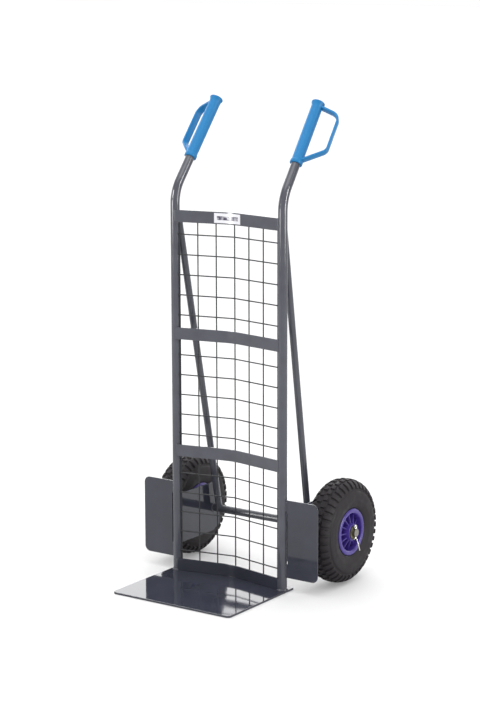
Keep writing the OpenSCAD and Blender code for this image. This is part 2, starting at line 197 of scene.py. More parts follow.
def light_panel(name, place, target, width, height, power):
    """An area light of a given size that looks at a target."""
    clear()
    bpy.ops.object.light_add(type="AREA", location=place)
    panel = bpy.context.object
    panel.name = name
    panel.data.shape = "RECTANGLE"
    panel.data.size, panel.data.size_y = width, height
    panel.data.energy = power
    aim = (Vector(target) - Vector(place)).to_track_quat("-Z", "Y")
    panel.rotation_euler = aim.to_euler()
    return panel


middle = (cad_box[0] + cad_box[1]) / 2
for name, beside, low, high in (("panel_left_low", LEFT_TURN, PANEL_FOOT, GAP_STARTS),
                                ("panel_left_high", LEFT_TURN, GAP_ENDS, PANEL_HEAD),
                                ("panel_right", RIGHT_TURN, PANEL_FOOT, PANEL_HEAD)):
    compass = YAW + math.radians(beside)
    spot = Vector((math.sin(compass), -math.cos(compass), 0)) * PANEL_AWAY
    spot.z = (low + high) / 2
    power = PANEL_LEVEL * math.pi * PANEL_WIDE * (high - low)
    panel = light_panel(name, spot, (0, 0, spot.z), PANEL_WIDE, high - low, power)
    panel.visible_diffuse = False
light_panel("panel_above", ABOVE_PLACE, middle, ABOVE_SIDE, ABOVE_SIDE, ABOVE_POWER)
print("Each tall panel stands", PANEL_AWAY, "m away and mirrors at level", PANEL_LEVEL)

# %% [markdown]
# ## Floor
# The floor is one big pale sheet just under the truck, which melts into the surround.

# %% A wide floor
FLOOR_SIDE, FLOOR_DROP = 90, 0.0005
bpy.ops.mesh.primitive_plane_add(size=FLOOR_SIDE, location=(0, 0, -FLOOR_DROP))
floor = bpy.context.object
floor.name = "floor"
floor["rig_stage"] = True
print("The floor is", FLOOR_SIDE, "m wide")

# %% [markdown]
# ## How a finish is built
# Every finish starts from one shader and a few nodes. One function makes the material with its
# plain values, one adds a node with its settings and links, and one turns the hex colours of a
# paint chart into the linear colours that the renderer works in. Patterns are read from Object
# coordinates, which are metres here, so a grain of so many millimetres is one division away.

# %% Helpers for the finishes


def linear(hex_colour):
    """Linear colour with alpha from an sRGB hex string."""
    parts = [int(hex_colour[k:k + 2], 16) / 255 for k in (1, 3, 5)]
    return [c / 12.92 if c <= 0.04045 else ((c + 0.055) / 1.055) ** 2.4 for c in parts] + [1]


def new_finish(name, colour, roughness, **values):
    """A material with one Principled shader and its constant values."""
    finish = bpy.data.materials.new(name)
    finish.use_nodes = True
    shader = finish.node_tree.nodes["Principled BSDF"]
    shader.inputs["Base Color"].default_value = linear(colour)
    shader.inputs["Roughness"].default_value = roughness
    for key, value in values.items():
        shader.inputs[key.replace("_", " ")].default_value = value
    return finish


def add(finish, kind, values=None, links=None, into=None, **settings):
    """Adds a node with its settings, input values and links, and joins it to the shader."""
    made = finish.node_tree.nodes.new(kind)
    for key, value in settings.items():
        setattr(made, key, value)
    for key, value in (values or {}).items():
        made.inputs[key].default_value = value
    for key, source in (links or {}).items():
        finish.node_tree.links.new(source, made.inputs[key])
    if into:
        shader = finish.node_tree.nodes["Principled BSDF"]
        finish.node_tree.links.new(made.outputs[into[0]], shader.inputs[into[1]])
    return made


def grain(finish, size, height, detail=2):
    """Fine relief: a noise whose bumps are size wide and height deep, in metres."""
    place = add(finish, "ShaderNodeTexCoord")
    noise = add(finish, "ShaderNodeTexNoise", {"Scale": 1 / size, "Detail": detail},
                {"Vector": place.outputs["Object"]})
    add(finish, "ShaderNodeBump", {"Strength": 1, "Distance": height},
        {"Height": noise.outputs["Fac"]}, into=("Normal", "Normal"))
    return noise


def uneven(finish, size, low, high):
    """Lets the roughness wander between two limits over patches of one size."""
    place = add(finish, "ShaderNodeTexCoord")
    noise = add(finish, "ShaderNodeTexNoise", {"Scale": 1 / size, "Detail": 3},
                {"Vector": place.outputs["Object"]})
    add(finish, "ShaderNodeMapRange",
        {"From Min": 0.35, "From Max": 0.65, "To Min": low, "To Max": high},
        {"Value": noise.outputs["Fac"]}, into=("Result", "Roughness"))
    return noise


def two_tone(finish, noise, dark, light):
    """Blends two close shades by a noise, so that a surface is never one flat colour."""
    share = add(finish, "ShaderNodeMapRange", {"From Min": 0.3, "From Max": 0.7},
                {"Value": noise.outputs["Fac"]})
    add(finish, "ShaderNodeMix", {6: linear(dark), 7: linear(light)},
        {0: share.outputs["Result"]}, into=(2, "Base Color"), data_type="RGBA")


# %% [markdown]
# ## The finishes
# The frame is powder-coated: electrostatic powder baked to a hard gloss that keeps a faint
# orange peel of a few millimetres. The toe plate is coated the same way but lies flat and
# smooth, so at a shallow angle it works as a dark mirror. The mesh wire is thinner and its coat
# is a shade darker.

# %% Paints
ORANGE_PEEL = 4 * MM

frame_paint = new_finish("slate_powder_coat", "#46484f", 0.16, IOR=1.5)
grain(frame_paint, ORANGE_PEEL, 0.012 * MM)
two_tone(frame_paint, uneven(frame_paint, 60 * MM, 0.08, 0.16), "#474851", "#50525b")

plate_paint = new_finish("mirror_slate_enamel", "#343641", 0.03, IOR=1.5)
two_tone(plate_paint, uneven(plate_paint, 80 * MM, 0.045, 0.085), "#30323c", "#363844")

mesh_paint = new_finish("dark_wire_coat", "#2c2d30", 0.5, IOR=1.4)
two_tone(mesh_paint, grain(mesh_paint, 3 * MM, 0.02 * MM), "#1e1f22", "#292a2d")
print("The orange peel of the frame paint is", ORANGE_PEEL / MM, "mm wide")

# %% [markdown]
# The axle is painted between the brackets and bare dull zinc where the wheels turn on it.
# One material can be both: the distance from the middle, taken from the X coordinate, decides
# how metallic each spot is. The washers carry a dull olive passivation over their zinc, and
# pins and bolts are plain bright zinc with a fine grain from tumbling.

# %% Metals
bare_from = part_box("axle_bracket_right")[1].x + 20 * MM

zinc_plate = new_finish("bright_zinc_plate", "#d9d9d2", 0.26, Metallic=1)
two_tone(zinc_plate, uneven(zinc_plate, 2.5 * MM, 0.18, 0.36), "#c4c4bc", "#e6e5df")
grain(zinc_plate, 0.8 * MM, 0.01 * MM)

yellow_zinc = new_finish("yellow_passivated_zinc", "#6a6752", 0.5, Metallic=1)
two_tone(yellow_zinc, uneven(yellow_zinc, 5 * MM, 0.44, 0.6), "#565340", "#737058")

bearing_steel = new_finish("ground_bearing_steel", "#8b8d90", 0.3, Metallic=1)
uneven(bearing_steel, 4 * MM, 0.22, 0.4)

valve_brass = new_finish("drawn_brass", "#b9974f", 0.3, Metallic=1)
uneven(valve_brass, 3 * MM, 0.22, 0.4)

axle_steel = new_finish("painted_and_zinc_axle", "#46484f", 0.2, IOR=1.5)
place = add(axle_steel, "ShaderNodeTexCoord")
axes = add(axle_steel, "ShaderNodeSeparateXYZ", links={"Vector": place.outputs["Object"]})
out = add(axle_steel, "ShaderNodeMath", links={0: axes.outputs["X"]}, operation="ABSOLUTE")
bare = add(axle_steel, "ShaderNodeMath", {1: bare_from}, {0: out.outputs[0]},
           into=("Value", "Metallic"), operation="GREATER_THAN")
add(axle_steel, "ShaderNodeMix", {6: linear("#3f4148"), 7: linear("#86847a")},
    {0: bare.outputs[0]}, into=(2, "Base Color"), data_type="RGBA")
uneven(axle_steel, 40 * MM, 0.22, 0.3)
print("Bare zinc starts", round(bare_from / MM), "mm from the middle")

# %% [markdown]
# The plastics are moulded: the grips are soft blue PVC with a satin skin, and the rims are
# violet polypropylene, which looks lighter where its skin turns to the light. Rubber is nearly
# black, with a dry bloom that turns it brownish grey, and a coarse skin from the mould.

# %% Plastics and rubber
grip_plastic = new_finish("blue_pvc", "#2f86c4", 0.45, IOR=1.45, Specular_IOR_Level=0.3)
two_tone(grip_plastic, grain(grip_plastic, 2.2 * MM, 0.03 * MM), "#0e6ea6", "#1478b2")

rim_plastic = new_finish("violet_polypropylene", "#4a3596", 0.34, IOR=1.49)
two_tone(rim_plastic, grain(rim_plastic, 6 * MM, 0.03 * MM), "#3f2d86", "#4b3992")

TYRE_SKIN = 1.2 * MM
tyre_rubber = new_finish("tyre_rubber", "#1c1a1d", 0.62, IOR=1.45, Specular_IOR_Level=0.3)
grain(tyre_rubber, TYRE_SKIN, 0.06 * MM, detail=3)
two_tone(tyre_rubber, uneven(tyre_rubber, 18 * MM, 0.52, 0.72), "#181418", "#241f23")

tube_rubber = new_finish("butyl_tube_rubber", "#18181a", 0.55, IOR=1.5)
uneven(tube_rubber, 12 * MM, 0.45, 0.65)

cap_plastic = new_finish("black_nylon", "#141416", 0.4, IOR=1.5)
uneven(cap_plastic, 3 * MM, 0.34, 0.48)
print("The grain of the tyre's skin is", TYRE_SKIN / MM, "mm wide")

# %% [markdown]
# The label is a white polyester film under clear laminate. It carries no name, only a dark
# uneven strip, drawn from the height and the sideways place on the film.

# %% Label film
film_low, film_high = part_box("label_plate")
film_middle = (film_low + film_high) / 2
film_width = film_high.x - film_low.x
film_tall = film_high.z - film_low.z

label_film = new_finish("laminated_label_film", "#f4f4f6", 0.18, IOR=1.5)
place = add(label_film, "ShaderNodeTexCoord")
centred = add(label_film, "ShaderNodeMapping",
              {"Location": -film_middle}, {"Vector": place.outputs["Object"]})
bars = add(label_film, "ShaderNodeTexNoise",
           {"Scale": 1 / (9 * MM), "Detail": 1}, {"Vector": centred.outputs["Vector"]})
axes = add(label_film, "ShaderNodeSeparateXYZ", links={"Vector": centred.outputs["Vector"]})
up = add(label_film, "ShaderNodeMath", links={0: axes.outputs["Z"]}, operation="ABSOLUTE")
side = add(label_film, "ShaderNodeMath", links={0: axes.outputs["X"]}, operation="ABSOLUTE")
in_row = add(label_film, "ShaderNodeMath", {1: film_tall * 0.2}, {0: up.outputs[0]},
             operation="LESS_THAN")
in_line = add(label_film, "ShaderNodeMath", {1: film_width * 0.4}, {0: side.outputs[0]},
              operation="LESS_THAN")
strip = add(label_film, "ShaderNodeMath", links={0: in_row.outputs[0], 1: in_line.outputs[0]},
            operation="MULTIPLY")
ink = add(label_film, "ShaderNodeMapRange",
          {"From Min": 0.35, "From Max": 0.6, "To Min": 0.35, "To Max": 1},
          {"Value": bars.outputs["Fac"]})
printed = add(label_film, "ShaderNodeMath", links={0: strip.outputs[0], 1: ink.outputs[0]},
              operation="MULTIPLY")
add(label_film, "ShaderNodeMix", {6: linear("#e9e9ee"), 7: linear("#3f3a52")},
    {0: printed.outputs[0]}, into=(2, "Base Color"), data_type="RGBA")
print("The label is", round(film_width / MM), "mm by", round(film_tall / MM), "mm")

# %% [markdown]
# The floor is a pale light table: its paint glows a little, which lifts the shadows under the
# wheels.

# %% Floor paint
FLOOR_MATT = (0.85, 0.95)
floor_paint = new_finish("pale_floor", "#c6c6c6", 0.9, Emission_Strength=0.2)
floor_paint.node_tree.nodes["Principled BSDF"].inputs["Emission Color"].default_value = WHITE
uneven(floor_paint, 1.5, *FLOOR_MATT)
floor.data.materials.append(floor_paint)
print("The roughness of the floor runs from", FLOOR_MATT[0], "to", FLOOR_MATT[1])

# %% [markdown]
# ## Finishes on the measured pieces
# Tubes, wires, axle and other turned pieces already have their true form, so they stay and only
# take a finish. Each node's material slot is named in the record, and one table maps those
# slots to the finishes.

# %% Give every measured node its finish
FINISHES = {
    "frame_paint": frame_paint, "plate_paint": plate_paint, "mesh_paint": mesh_paint,
    "axle_steel": axle_steel, "grip_plastic": grip_plastic, "label_film": label_film,
    "tyre_rubber": tyre_rubber, "tube_rubber": tube_rubber, "rim_plastic": rim_plastic,
    "zinc_steel": zinc_plate, "bearing_steel": bearing_steel, "valve_brass": valve_brass,
    "cap_plastic": cap_plastic,
}
slot_of = {}
for name, node in frame["nodes"].items():
    slot_of[name] = node.data.materials[0].name
    node.data.materials[0] = FINISHES[slot_of[name]]
print(len(slot_of), "nodes use", len(set(slot_of.values())), "finishes")

# %% [markdown]
# ## Small modelling helpers
# Most of the pieces come from the same few moves. A line is drawn by merging a tiny plane to
# one point and extruding that point along. A closed line spun around an axis is a turned part,
# and a filled outline that is extruded is a plate. After that the piece gets its name, its body
# and its finish.

# %% Draw, spin, select and finish


def pick(kind, test):
    """In edit mode, selects the vertices, edges or faces whose middle passes the test."""
    bpy.ops.object.mode_set(mode="EDIT")
    bpy.ops.mesh.select_mode(type=kind)
    bpy.ops.mesh.select_all(action="DESELECT")
    mesh = bmesh.from_edit_mesh(bpy.context.object.data)
    parts = {"VERT": mesh.verts, "EDGE": mesh.edges, "FACE": mesh.faces}[kind]
    for part in parts:
        spots = [part.co] if kind == "VERT" else [corner.co for corner in part.verts]
        if test(sum(spots, Vector()) / len(spots)):
            part.select_set(True)
    mesh.select_flush_mode()
    bmesh.update_edit_mesh(bpy.context.object.data)


def draw(points, closed=False):
    """A line through the points, left in edit mode with all its points selected."""
    clear()
    bpy.ops.mesh.primitive_plane_add(size=MM)
    bpy.ops.object.mode_set(mode="EDIT")
    bpy.ops.mesh.select_mode(type="VERT")
    bpy.ops.mesh.merge(type="CENTER")
    bpy.ops.transform.translate(value=points[0])
    ring = list(points) + ([points[0]] if closed else [])
    for here, there in zip(ring, ring[1:]):
        step = Vector(there) - Vector(here)
        bpy.ops.mesh.extrude_region_move(TRANSFORM_OT_translate={"value": step})
    bpy.ops.mesh.select_all(action="SELECT")
    bpy.ops.mesh.remove_doubles(threshold=0.001 * MM)


def tidy_normals():
    """Merges doubles and turns every face outwards."""
    bpy.ops.mesh.select_all(action="SELECT")
    bpy.ops.mesh.remove_doubles(threshold=0.01 * MM)
    bpy.ops.mesh.normals_make_consistent(inside=False)


def round_edges(piece, width, steps=2, angle=35):
    """Rounds the edges sharper than an angle, with a bevel that is applied at once."""
    clear()
    piece.select_set(True)
    bpy.context.view_layer.objects.active = piece
    bevel = piece.modifiers.new("rounding", "BEVEL")
    bevel.width, bevel.segments = width, steps
    bevel.limit_method, bevel.angle_limit = "ANGLE", math.radians(angle)
    bpy.ops.object.modifier_apply(modifier=bevel.name)


def set_in_place(piece, name, body, slot, nodes=(), smooth=35, flat=False):
    """Applies the piece's place, shades it, names it and joins it to its body.
    With flat, the large faces keep a true flat shading between their rounded edges."""
    clear()
    piece.select_set(True)
    bpy.context.view_layer.objects.active = piece
    bpy.ops.object.transform_apply(location=True, rotation=True, scale=True)
    bpy.ops.object.shade_smooth_by_angle(angle=math.radians(smooth))
    if flat:
        level = piece.modifiers.new("level_faces", "WEIGHTED_NORMAL")
        level.weight, level.keep_sharp = 100, True
        bpy.ops.object.modifier_apply(modifier=level.name)
    piece.name = piece.data.name = name
    piece.data.materials.clear()
    piece.data.materials.append(FINISHES[slot])
    if nodes:
        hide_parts(*nodes)
    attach(piece, body)
    return piece


def copy_of(piece):
    """A copy with a mesh of its own, selected and active."""
    clear()
    twin = piece.copy()
    twin.data = piece.data.copy()
    for key in list(twin.keys()):
        del twin[key]
    twin.parent = None
    bpy.context.collection.objects.link(twin)
    twin.select_set(True)
    bpy.context.view_layer.objects.active = twin
    return twin


def mirrored(piece):
    """A copy of a right hand piece turned into its left hand partner."""
    twin = copy_of(piece)
    bpy.ops.object.mode_set(mode="EDIT")
    bpy.ops.mesh.select_all(action="SELECT")
    bpy.ops.transform.mirror(constraint_axis=(True, False, False), orient_type="GLOBAL",
                             center_override=(0, 0, 0))
    bpy.ops.mesh.normals_make_consistent(inside=False)
    clear()
    return twin


# %% [markdown]
# ## Flat steel
# The toe plate, the wheel guards, the axle brackets and the crossbars are cut from sheet and
# flat bar. Their outline is already right, but a cut edge on real steel is never a perfect
# corner: grinding and paint round it, and it is that small radius that catches the light. A
# copy of the measured piece is merged into one skin, its triangles are dissolved back into flat
# faces, and a narrow bevel runs round every corner. The bottom bar takes the darker, smoother
# enamel of the toe plate instead of the frame paint. Its darker colour is painted shade for the
# shade that falls on this low bar, and its sharp gloss mirrors the toe plate beside it.

# %% Plates, guards, brackets and bars with rounded edges


def softened(node, name, width, steps=2, slot=None):
    """A copy of a measured node with merged faces and rounded edges."""
    source = frame["nodes"][node]
    clear()
    piece = bpy.data.objects.new(name, source.data.copy())
    bpy.context.collection.objects.link(piece)
    piece.select_set(True)
    bpy.context.view_layer.objects.active = piece
    bpy.ops.mesh.customdata_custom_splitnormals_clear()
    bpy.ops.object.mode_set(mode="EDIT")
    bpy.ops.mesh.select_all(action="SELECT")
    bpy.ops.mesh.remove_doubles(threshold=0.002 * MM)
    bpy.ops.mesh.dissolve_limited(angle_limit=math.radians(0.5))
    round_edges(piece, width, steps)
    slot = slot or slot_of[node]
    return set_in_place(piece, name, node_body[node], slot, [node], flat=True)


node_body = {n: node["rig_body"] for n, node in frame["nodes"].items()}
SHEET_EDGE, BAR_EDGE = 0.7 * MM, 0.9 * MM
softened("toe_plate", "toe_sheet", SHEET_EDGE)
for side in ("left", "right"):
    softened(f"wheel_guard_{side}", f"guard_sheet_{side}", SHEET_EDGE)
    softened(f"axle_bracket_{side}", f"bracket_sheet_{side}", BAR_EDGE)
for level in ("top", "upper", "lower"):
    softened(f"{level}_bar", f"{level}_flat_bar", BAR_EDGE)
# The toe plate's darker enamel on the bottom bar is painted shade.
softened("bottom_bar", "bottom_flat_bar", BAR_EDGE, slot="plate_paint")
softened("label_plate", "label_sheet", 0.1 * MM, 1)

# %% [markdown]
# ## Tyres
# The tyre is a 260 mm air tyre with a knobbly tread: big lugs wrap over each shoulder, and two
# staggered rows of smaller blocks run round the middle. It could be displaced by a texture, but
# then the silhouette stays round. Instead one slice of the carcass, as long as one lug and one
# gap, is spun from its closed section, the lug faces are inset and raised out of it, and the
# slice is repeated around the axle.

# %% Section of the carcass
tyre_low, tyre_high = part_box("tyre_right")
wheel_middle = (tyre_low + tyre_high) / 2
wheel_r = (tyre_high.z - tyre_low.z) / 2
tyre_half = (tyre_high.x - tyre_low.x) / 2

LUG_HEIGHT = 3.8 * MM
SIDE_R = 90 * MM
CARCASS_HALF = 34.2 * MM
CROWN_POWER = 2.6
crown_rise = wheel_r - LUG_HEIGHT - 0.2 * MM - SIDE_R


def crown_r(across):
    """Radius of the carcass at a distance from the wheel's middle plane."""
    share = 1 - (abs(across) / CARCASS_HALF) ** CROWN_POWER
    return SIDE_R + crown_rise * share ** (1 / CROWN_POWER)


crown_steps = [step * MM for step in (1.5, 5.5, 9.5, 13.5, 16.5, 20.5, 24.5, 28, 30.5, 32, 33)]
side_wall = [(33.3, 102.6), (35.4, 101), (36.1, 96), (36.4, 90), (36.2, 83), (36.5, 80.5),
             (36.2, 78), (35.2, 71), (33.3, 65), (31, 61), (29.2, 59.4), (28.8, 57), (28.8, 51)]
inside = [(20, 51), (24, 60), (30.5, 72), (31.5, 88), (29.5, 104), (22, 115), (10, 119.5)]


def both_sides(half):
    """A list of section points mirrored to the other side, from left to right."""
    return [(-x, r) for x, r in reversed(half)] + half


crown_half = [(x, crown_r(x)) for x in crown_steps]
outer_half = crown_half + [(x * MM, r * MM) for x, r in side_wall]
inner_half = [(x * MM, r * MM) for x, r in reversed(inside)]
section = both_sides(outer_half) + list(reversed(both_sides(inner_half)))
print("The carcass section has", len(section), "points")


# %% Spin one slice and raise its lugs
LUG_COUNT = 40
COLUMNS = 6
LUG_TAPER = 0.9 * MM
pitch_turn = 2 * math.pi / LUG_COUNT
column_turn = pitch_turn / COLUMNS


def turned(point):
    """Place of a section point (across, radius) straight above the axle."""
    return wheel_middle + Vector((point[0], 0, point[1]))


def column(spot):
    """Which column of the slice a place lies in, counted from the start of the slice."""
    out = spot - wheel_middle
    return (math.atan2(out.y, out.z) % (2 * math.pi)) / column_turn


def raised(spot):
    """Whether a face belongs to a shoulder lug or to one of the middle blocks."""
    out = spot - wheel_middle
    across, radius = out.x, math.hypot(out.y, out.z)
    if radius < 106.5 * MM or radius < crown_r(min(abs(across), CARCASS_HALF)) - 2.5 * MM:
        return False
    k = column(spot)
    if abs(across) > 16.5 * MM:
        return k < 4 if across > 0 else 2 < k
    return abs(across) > 1.5 * MM and abs(across) < 13.5 * MM and (2 < k) == (across > 0)


draw([turned(point) for point in section], closed=True)
bpy.ops.mesh.spin(steps=COLUMNS, angle=pitch_turn, center=wheel_middle, axis=(1, 0, 0))
tyre = bpy.context.object
pick("FACE", raised)
lug_faces = sum(face.select for face in bmesh.from_edit_mesh(tyre.data).faces)
bpy.ops.mesh.inset(thickness=LUG_TAPER, depth=LUG_HEIGHT, use_boundary=True)
print("Raised", lug_faces, "faces of one slice of", round(math.degrees(pitch_turn), 1), "degrees")

# %% Repeat the slice and mirror the tyre
bpy.ops.mesh.select_all(action="SELECT")
bpy.ops.mesh.spin(steps=LUG_COUNT - 1, angle=2 * math.pi - pitch_turn, dupli=True,
                  center=wheel_middle, axis=(1, 0, 0))
tidy_normals()
round_edges(tyre, 0.5 * MM, 1, 40)
tyre_copy = mirrored(tyre)
set_in_place(tyre, "knobbly_tyre_right", "wheel_right", "tyre_rubber", ["tyre_right"])
set_in_place(tyre_copy, "knobbly_tyre_left", "wheel_left", "tyre_rubber", ["tyre_left"])
print("Each tyre has", len(tyre.data.polygons), "faces")

# %% [markdown]
# ## Rims
# Each rim is two injection-moulded halves of violet polypropylene, joined back to back. A half
# is a turned shape, a barrel with a rolled lip, a thin web and a hub, stiffened by twelve ribs
# that fall from the hub to the barrel. The turned part is a section spun round the axle, with
# every corner drawn as a few short steps so that it shades as a moulded radius. One rib is an
# extruded outline with rounded edges, copied round by the same spin.

# %% Turn half a rim and add its ribs
RIB_COUNT = 12
RIB_THICK = 2.6 * MM
RIM_STEPS = 96
rim_section = [
    (0.2, 14.2), (37.3, 14.2), (37.3, 19.8), (36.8, 20.7), (35.8, 21), (9.8, 21.6), (7.6, 22.6),
    (7, 25), (7, 43), (7.6, 45.4), (9.8, 46.6), (29, 47), (31.2, 47.4), (32.5, 48.6), (33.2, 50.6),
    (33.3, 53), (33, 55.5), (32.2, 57.2), (31.1, 58.2), (30.2, 58.4), (29.5, 57.8), (29.3, 56.4),
    (29.3, 52.2), (28.3, 50.9), (26, 50.6), (0.2, 50.6),
]
rib_outline = [(1, 20), (1, 48), (22, 48), (23, 46), (30, 22), (30.4, 20)]


def spun(points, name):
    """A closed section of (across, radius) points in millimetres, spun round the axle."""
    draw([turned((x * MM, r * MM)) for x, r in points], closed=True)
    bpy.ops.mesh.spin(steps=RIM_STEPS, angle=2 * math.pi, center=wheel_middle, axis=(1, 0, 0))
    tidy_normals()
    part = bpy.context.object
    part.name = name
    return part


rim_half = spun(rim_section, "rim_half")
draw([turned((x * MM, r * MM)) + Vector((0, RIB_THICK / 2, 0)) for x, r in rib_outline], closed=True)
bpy.ops.mesh.edge_face_add()
bpy.ops.mesh.extrude_region_move(TRANSFORM_OT_translate={"value": (0, -RIB_THICK, 0)})
tidy_normals()
rib = bpy.context.object
round_edges(rib, 0.6 * MM, 2)
pick("FACE", lambda spot: True)
bpy.ops.mesh.spin(steps=RIB_COUNT - 1, angle=2 * math.pi * (1 - 1 / RIB_COUNT), dupli=True,
                  center=wheel_middle, axis=(1, 0, 0))
clear()
rib.select_set(True)
rim_half.select_set(True)
bpy.context.view_layer.objects.active = rim_half
bpy.ops.object.join()


def flipped_across(piece, middle_x):
    """A copy turned over in a plane across the axle."""
    twin = copy_of(piece)
    bpy.ops.object.mode_set(mode="EDIT")
    bpy.ops.mesh.select_all(action="SELECT")
    bpy.ops.transform.mirror(constraint_axis=(True, False, False), orient_type="GLOBAL",
                             center_override=(middle_x, 0, 0))
    bpy.ops.mesh.normals_make_consistent(inside=False)
    clear()
    return twin


inner_half_rim = flipped_across(rim_half, wheel_middle.x)
for part, label in ((rim_half, "outer"), (inner_half_rim, "inner")):
    twin = flipped_across(part, 0)
    set_in_place(part, f"moulded_rim_{label}_right", "wheel_right", "rim_plastic",
                 [f"rim_{label}_right"])
    set_in_place(twin, f"moulded_rim_{label}_left", "wheel_left", "rim_plastic",
                 [f"rim_{label}_left"])
print("Half a rim has", len(rim_half.data.polygons), "faces")

# %% [markdown]
# ## Rim bolts
# Six hexagon bolts clamp the two halves of each rim. A six-sided cylinder is only the start:
# its end is inset and pulled out to the chamfered face that a forged head has, and a thin round
# flange is extruded under it.

# %% Hexagon bolts on the inner face of each rim
bolt_low, bolt_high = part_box("rim_screws_right")
HEAD_R, HEAD_DEEP = 4.9 * MM, 3.4 * MM
FLANGE_R, FLANGE_THICK = 6.2 * MM, 1 * MM
CHAMFER = 0.4 * MM
head_face = bolt_low.x
bolt_ring = 33 * MM
BOLT_COUNT = 6
BOLT_TURN = math.radians(15)


def bolt_head():
    """One bolt head with its flange, above the axle, that looks towards the truck's middle."""
    spot = turned((0, bolt_ring))
    spot.x = head_face + CHAMFER + 0.1 * MM + HEAD_DEEP / 2
    clear()
    bpy.ops.mesh.primitive_cylinder_add(vertices=6, radius=HEAD_R, depth=HEAD_DEEP,
                                        location=spot, rotation=(0, math.pi / 2, 0))
    bolt = bpy.context.object
    bpy.ops.object.transform_apply(location=True, rotation=True)
    pick("FACE", lambda at: at.x < head_face + 0.6 * MM)
    bpy.ops.mesh.inset(thickness=2 * CHAMFER, depth=CHAMFER)
    clear()
    bpy.ops.mesh.primitive_cylinder_add(vertices=24, radius=FLANGE_R, depth=FLANGE_THICK,
                                        location=spot + Vector((1.5 * MM, 0, 0)),
                                        rotation=(0, math.pi / 2, 0))
    flange = bpy.context.object
    bpy.ops.object.transform_apply(location=True, rotation=True)
    round_edges(flange, 0.3 * MM, 1)
    bolt.select_set(True)
    bpy.context.view_layer.objects.active = bolt
    bpy.ops.object.join()
    pick("FACE", lambda at: True)
    bpy.ops.transform.rotate(value=-BOLT_TURN, orient_axis="X", center_override=wheel_middle)
    bpy.ops.mesh.spin(steps=BOLT_COUNT - 1, angle=2 * math.pi * (1 - 1 / BOLT_COUNT), dupli=True,
                      center=wheel_middle, axis=(1, 0, 0))
    return bolt


bolts = bolt_head()
twin = mirrored(bolts)
set_in_place(bolts, "hex_bolts_right", "wheel_right", "zinc_steel", ["rim_screws_right"])
set_in_place(twin, "hex_bolts_left", "wheel_left", "zinc_steel", ["rim_screws_left"])
print("Twelve bolt heads, each", len(bolts.data.polygons) // BOLT_COUNT, "faces")

# %% [markdown]
# ## Washers, spacers and bearings
# These are turned or punched from bar and sheet, so their form is already exact. Only the
# punched edge is missing, and a fine rounding gives it. The washers carry yellow zinc.

# %% Round the punched edges
PUNCHED_EDGE, TURNED_EDGE = 0.35 * MM, 0.5 * MM
for side in ("left", "right"):
    for node in ("outer_washer", "inner_washer"):
        washer = softened(f"{node}_{side}", f"punched_{node}_{side}", PUNCHED_EDGE)
        washer.data.materials[0] = yellow_zinc
    softened(f"spacer_{side}", f"turned_spacer_{side}", TURNED_EDGE)
    softened(f"valve_cap_{side}", f"screw_cap_{side}", TURNED_EDGE)
print("Four washers, two spacers and two valve caps have rounded edges")

# %% [markdown]
# ## Split pins
# A split pin is one length of soft half-round wire folded into an eye. It is pushed through the
# hole near the end of the axle and its legs are bent apart. The wire is drawn as a line of
# points, turned into a curve to get its round section, and turned back into a mesh.

# %% Bend the split pins
WIRE_R = 1.45 * MM
EYE_R = 4.2 * MM
axle_r = (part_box("axle")[1].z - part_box("axle")[0].z) / 2
eye_middle = axle_r + 1 * MM + EYE_R
eye_turns = [math.radians(a) for a in range(-70, 251, 20)]


def wire(points, radius, sides=3):
    """A round wire through the points, as a closed mesh."""
    draw(points)
    clear()
    line = bpy.context.object
    line.select_set(True)
    bpy.ops.object.convert(target="CURVE")
    curve = bpy.context.object.data
    curve.bevel_depth, curve.bevel_resolution, curve.use_fill_caps = radius, sides, True
    bpy.ops.object.convert(target="MESH")
    pick("FACE", lambda spot: True)
    tidy_normals()
    return bpy.context.object


long_leg = [(8.7, 6, -45), (7.8, 4.6, -38), (5.6, 3, -27), (2.4, 1.6, -17), (0.4, 0.9, -12)]
short_leg = [(0, -0.9, -11.5), (0, -2.6, -13.6), (0, -5.6, -15.4), (0, -8.2, -16.6)]
pin_line = [Vector(point) * MM for point in long_leg]
pin_line += [Vector((0, EYE_R * math.cos(a), eye_middle + EYE_R * math.sin(a))) for a in eye_turns]
pin_line += [Vector(point) * MM for point in short_leg]
PIN_INSET = 3.2 * MM
hole = Vector((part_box("axle")[1].x - PIN_INSET, wheel_middle.y, wheel_middle.z))
print("The hole for the pin is", round(hole.x / MM, 1), "mm from the middle")
pin = wire([hole + point for point in pin_line], WIRE_R)
twin = mirrored(pin)
set_in_place(pin, "bent_pin_right", "frame", "zinc_steel", ["split_pin_right"], smooth=60)
set_in_place(twin, "bent_pin_left", "frame", "zinc_steel", ["split_pin_left"], smooth=60)

# %% [markdown]
# ## Grips
# A grip is one moulding of soft blue PVC: a sleeve with a collar at its foot and a flared end,
# and a flat strap in front of the knuckles. The sleeve is spun from its section, and the strap
# is a bent line made wide by extruding it, thick by a Solidify modifier and soft by a bevel.
# Both are modelled standing up at the origin and then turned into the line of the handle.

# %% Where the handle points
HANDLE_LEAN, HANDLE_TOE_IN = math.radians(37.8), math.radians(2.8)
ELBOW_HEIGHT, GRIP_START = 962 * MM, 97 * MM
STRAP_TURN = math.radians(21.5)
foot = [v.co for v in frame["nodes"]["stile_right"].data.vertices if v.co.z < 10 * MM]
stile_x = (min(v.x for v in foot) + max(v.x for v in foot)) / 2
stile_r = (max(v.x for v in foot) - min(v.x for v in foot)) / 2
handle = (Matrix.Translation((stile_x, 0, ELBOW_HEIGHT)) @ Matrix.Rotation(HANDLE_TOE_IN, 4, "Z")
          @ Matrix.Rotation(-HANDLE_LEAN, 4, "X") @ Matrix.Translation((0, 0, GRIP_START)))
print("The stile stands at", round(stile_x / MM, 1), "mm with a radius of", round(stile_r / MM, 1))

